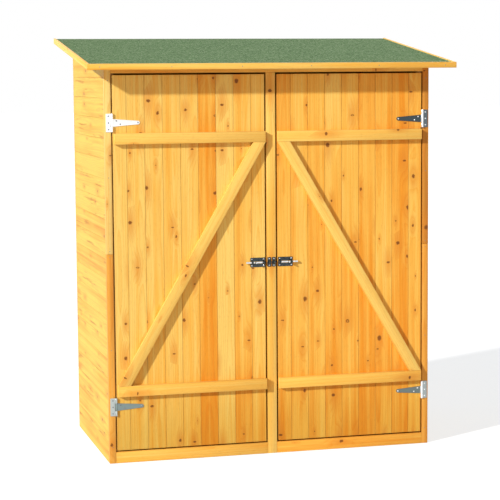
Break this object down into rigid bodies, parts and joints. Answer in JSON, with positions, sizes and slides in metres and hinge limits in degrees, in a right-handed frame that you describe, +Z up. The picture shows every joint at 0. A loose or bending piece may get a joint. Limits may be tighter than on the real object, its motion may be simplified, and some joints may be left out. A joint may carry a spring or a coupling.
{
  "type": "wooden tool shed",
  "caption": "Small pent-roof wooden tool shed with felted roof, ledged and braced double doors on T-hinges, and sliding barrel bolts.",
  "frame": {"origin": "on the ground, under the middle of the roof's plan", "axes": "+X across the front towards the right-hand door as seen from outside, -Y towards the front, +Z up"},
  "size_m": [1.39, 0.8, 1.5662],
  "materials": {
    "pale_post": "planed softwood, pale pinkish tan, satin stain",
    "orange_post": "planed softwood, orange brown, satin stain",
    "centre_post_wood": "planed softwood, honey stain",
    "rail_wood": "planed softwood, honey stain",
    "wall_wood": "planed softwood boards, honey yellow stain",
    "framing_wood": "sawn softwood, bare",
    "floor_wood": "sawn softwood boards, bare",
    "deck_wood": "sawn softwood boards, bare",
    "roof_felt": "mineral-surfaced bitumen felt, soft green, gritty",
    "trim_wood": "planed softwood, honey stain",
    "door_wood": "planed tongue-and-groove boards, honey orange stain",
    "ledge_wood": "planed softwood, honey orange stain",
    "hinge_zinc": "bright zinc-plated steel, light brushed",
    "bolt_zinc": "bright zinc-plated steel, light brushed"
  },
  "bodies": {
    "shed": {"left_post_upper": "pale_post", "left_post_lower": "orange_post", "right_post_upper": "orange_post", "right_post_lower": "orange_post", "centre_post": "centre_post_wood", "front_top_rail": "rail_wood", "front_bottom_rail": "rail_wood", "left_wall": "wall_wood", "right_wall": "wall_wood", "back_wall": "wall_wood", "front_left_stud": "framing_wood", "front_right_stud": "framing_wood", "back_left_stud": "framing_wood", "back_right_stud": "framing_wood", "side_top_rails": "framing_wood", "side_bottom_rails": "framing_wood", "back_top_rail": "framing_wood", "back_bottom_rail": "framing_wood", "floor_joists": "framing_wood", "floor_boards": "floor_wood", "roof_deck": "deck_wood", "roof_felt": "roof_felt", "roof_rafter": "framing_wood", "front_fascia": "trim_wood", "left_bargeboard": "trim_wood", "right_bargeboard": "trim_wood", "left_hinge_leaves": "hinge_zinc", "right_hinge_leaves": "hinge_zinc", "left_bolt_keep": "bolt_zinc", "right_bolt_keep": "bolt_zinc"},
    "left_door": {"left_door_panel": "door_wood", "left_door_upper_ledge": "ledge_wood", "left_door_lower_ledge": "ledge_wood", "left_door_brace": "ledge_wood", "left_hinge_straps": "hinge_zinc", "left_bolt_plate": "bolt_zinc"},
    "right_door": {"right_door_panel": "door_wood", "right_door_upper_ledge": "ledge_wood", "right_door_lower_ledge": "ledge_wood", "right_door_brace": "ledge_wood", "right_hinge_straps": "hinge_zinc", "right_bolt_plate": "bolt_zinc"},
    "left_bolt": {"left_bolt_rod": "bolt_zinc"},
    "right_bolt": {"right_bolt_rod": "bolt_zinc"}
  },
  "joints": [
    {"name": "left_door_hinge", "type": "hinge", "parent": "shed", "child": "left_door", "pos_m": [-0.5935, -0.3085, 0.729], "axis": [0, 0, -1], "range_deg": [0, 105]},
    {"name": "right_door_hinge", "type": "hinge", "parent": "shed", "child": "right_door", "pos_m": [0.5935, -0.3085, 0.729], "axis": [0, 0, 1], "range_deg": [0, 105]},
    {"name": "left_bolt_slide", "type": "slide", "parent": "left_door", "child": "left_bolt", "axis": [1, 0, 0], "range_m": [0, 0.02]},
    {"name": "right_bolt_slide", "type": "slide", "parent": "right_door", "child": "right_bolt", "axis": [-1, 0, 0], "range_m": [0, 0.02]}
  ]
}
